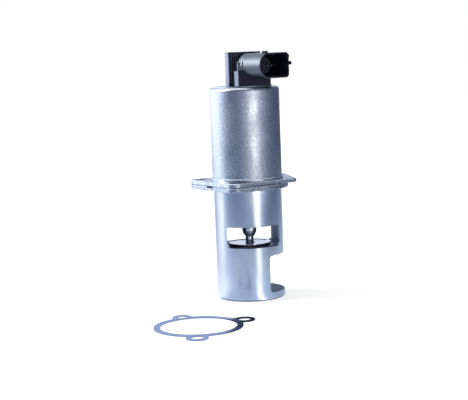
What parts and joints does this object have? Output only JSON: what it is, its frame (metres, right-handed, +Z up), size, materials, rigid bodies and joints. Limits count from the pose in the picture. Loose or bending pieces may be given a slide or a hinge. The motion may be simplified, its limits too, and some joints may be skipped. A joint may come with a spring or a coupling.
{
  "type": "exhaust gas recirculation valve",
  "caption": "Solenoid exhaust gas recirculation valve: plug-in cartridge with outlet window and inlet notch, bolt flange, coil can, sensor head with turned connector, and a loose gasket.",
  "frame": {"origin": "centre of the cartridge's closed end face, on the valve axis", "axes": "+Z up the valve axis towards the connector head, +X towards the inlet notch, the outlet window is cut through along Y"},
  "size_m": [0.1174, 0.1647, 0.1805],
  "materials": {
    "machined_steel": "bright turned steel, satin",
    "cast_plate": "rough cast, tumbled",
    "plated_plate": "zinc-plated, matt",
    "can_steel": "fine blasted, satin",
    "polished_steel": "polished",
    "dark_steel": "heat-darkened, smooth",
    "iron_core": "machined soft iron",
    "head_plastic": "fine moulded grain, satin",
    "bobbin_plastic": "plain moulded",
    "copper_wire": "enamelled copper",
    "contact_brass": "bright",
    "sealing_rubber": "plain",
    "carbon_seal": "filled fluoropolymer",
    "sheet_gasket": "thin rolled sheet, satin",
    "insulator": "pressed fibre",
    "spring_steel": "drawn wire",
    "track_board": "printed ceramic",
    "insert_plastic": "plain moulded",
    "pin_tin": "tin-plated"
  },
  "bodies": {
    "housing": {"cartridge_tube": "machined_steel", "seat_ring": "dark_steel", "guide_bush": "dark_steel", "bush_carrier": "machined_steel", "stem_seal": "carbon_seal", "seal_washer": "spring_steel", "lower_flange": "cast_plate", "flange_gasket": "insulator", "upper_flange": "plated_plate", "solenoid_can": "can_steel", "end_plate": "can_steel", "head_seal": "sealing_rubber", "pole_piece": "iron_core", "armature_sleeve": "contact_brass", "coil_bobbin": "bobbin_plastic", "coil_winding": "copper_wire", "return_spring": "spring_steel", "sensor_track": "track_board", "sensor_spring": "spring_steel", "connector_terminals": "pin_tin", "terminal_insert": "insert_plastic", "sensor_housing": "head_plastic", "sensor_lid": "head_plastic", "mounting_gasket": "sheet_gasket"},
    "valve": {"poppet_disc": "polished_steel", "valve_stem": "polished_steel", "armature": "iron_core", "stem_clip": "spring_steel", "sensor_rod": "polished_steel", "wiper_carrier": "bobbin_plastic", "wiper_contact": "contact_brass"}
  },
  "joints": [
    {"name": "valve_lift", "type": "slide", "parent": "housing", "child": "valve", "axis": [0, 0, 1], "range_m": [0, 0.0035], "stiffness_N_per_m": 2000, "springref_m": -0.001, "deforming": ["return_spring", "sensor_spring"]}
  ]
}
